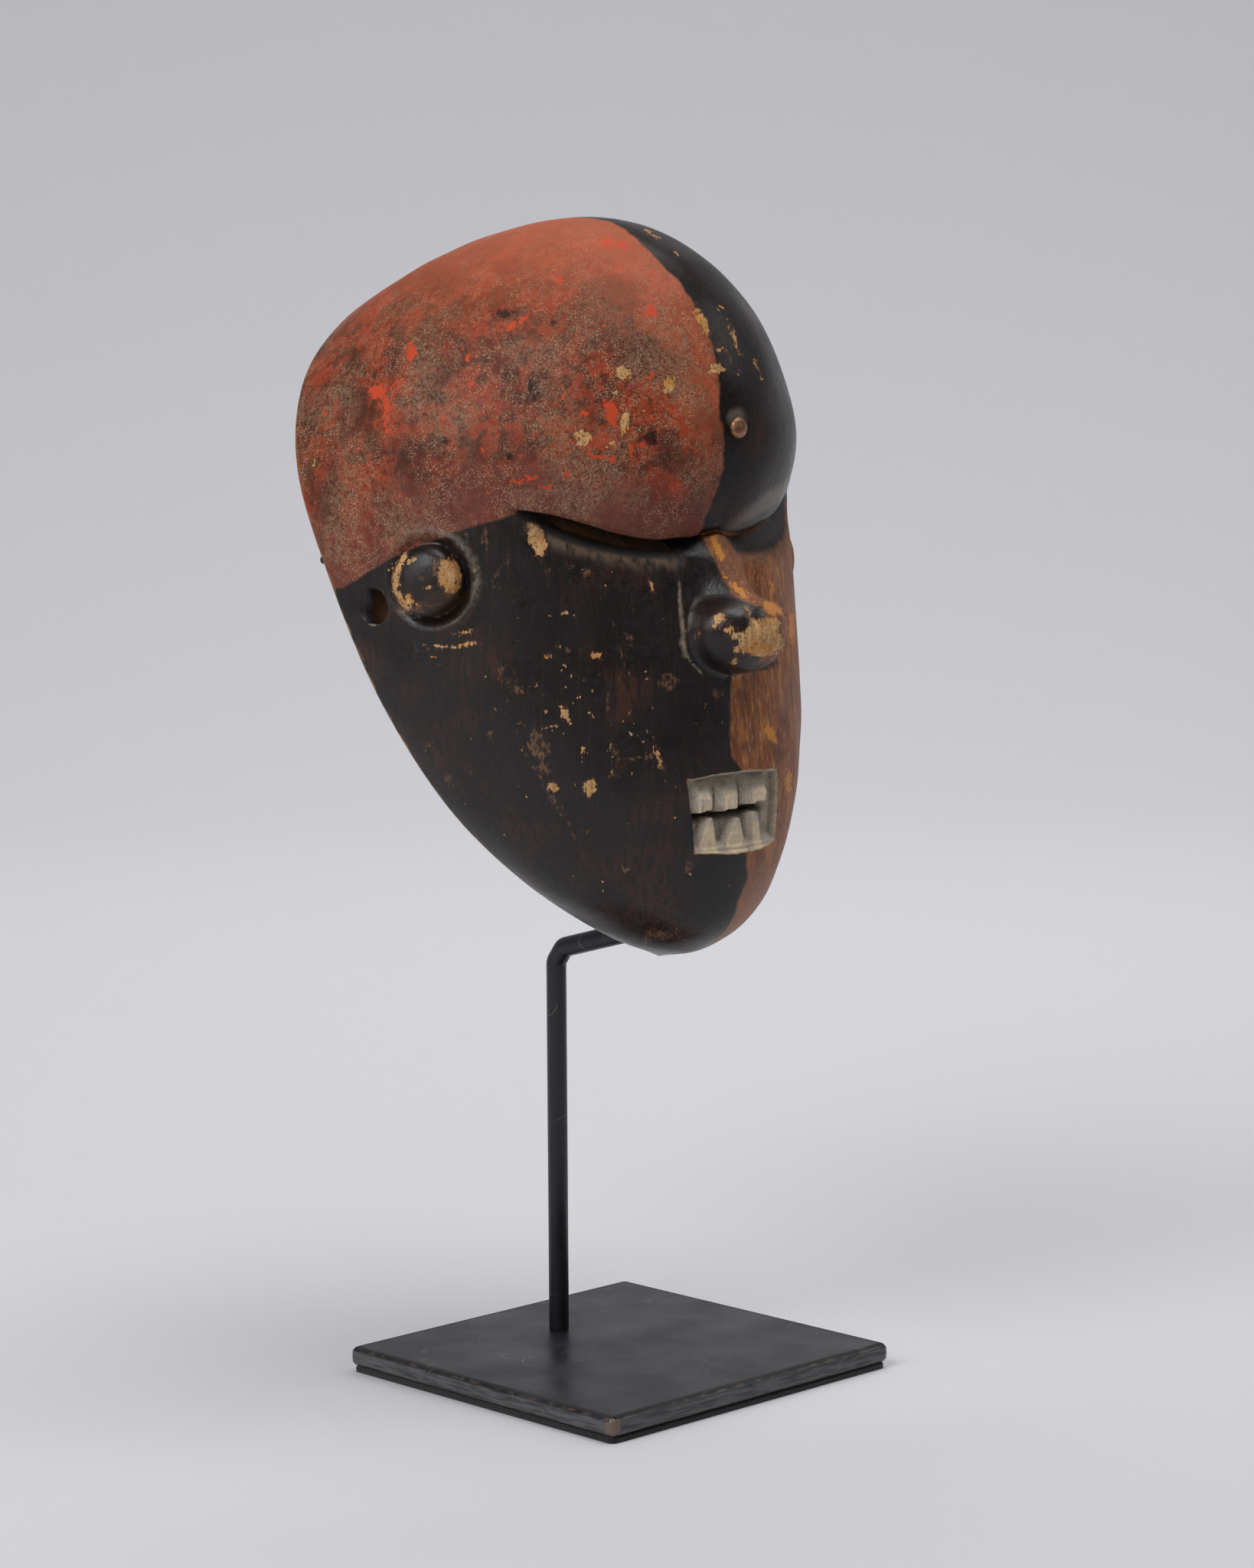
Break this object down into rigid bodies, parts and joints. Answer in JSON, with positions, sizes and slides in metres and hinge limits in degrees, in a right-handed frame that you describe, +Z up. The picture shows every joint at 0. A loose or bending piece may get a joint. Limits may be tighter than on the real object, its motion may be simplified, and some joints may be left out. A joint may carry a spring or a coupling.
{
  "type": "carved wooden face mask on stand",
  "caption": "Hollow carved and painted wooden face mask with bulging brow, slit eyes, knob nose and toothed mouth, resting upright on a bent steel rod stand with a square foot plate",
  "frame": {"origin": "centre of the stand's underside", "axes": "+Z up, the face looks along -Y, +X is the mask's own left side"},
  "size_m": [0.21, 0.1665, 0.4538],
  "materials": {
    "painted_wood": "worn red, black and ochre paint over pale wood",
    "brass": "dull, tarnished",
    "black_steel": "satin black, scuffed at the edges",
    "black_felt": "matt felt"
  },
  "bodies": {
    "root": {"mask": "painted_wood", "forehead_tack": "brass", "stand_post": "black_steel", "stand_riser": "black_steel", "stand_crossbar": "black_steel", "base_plate": "black_steel", "felt_pad": "black_felt"}
  },
  "joints": []
}
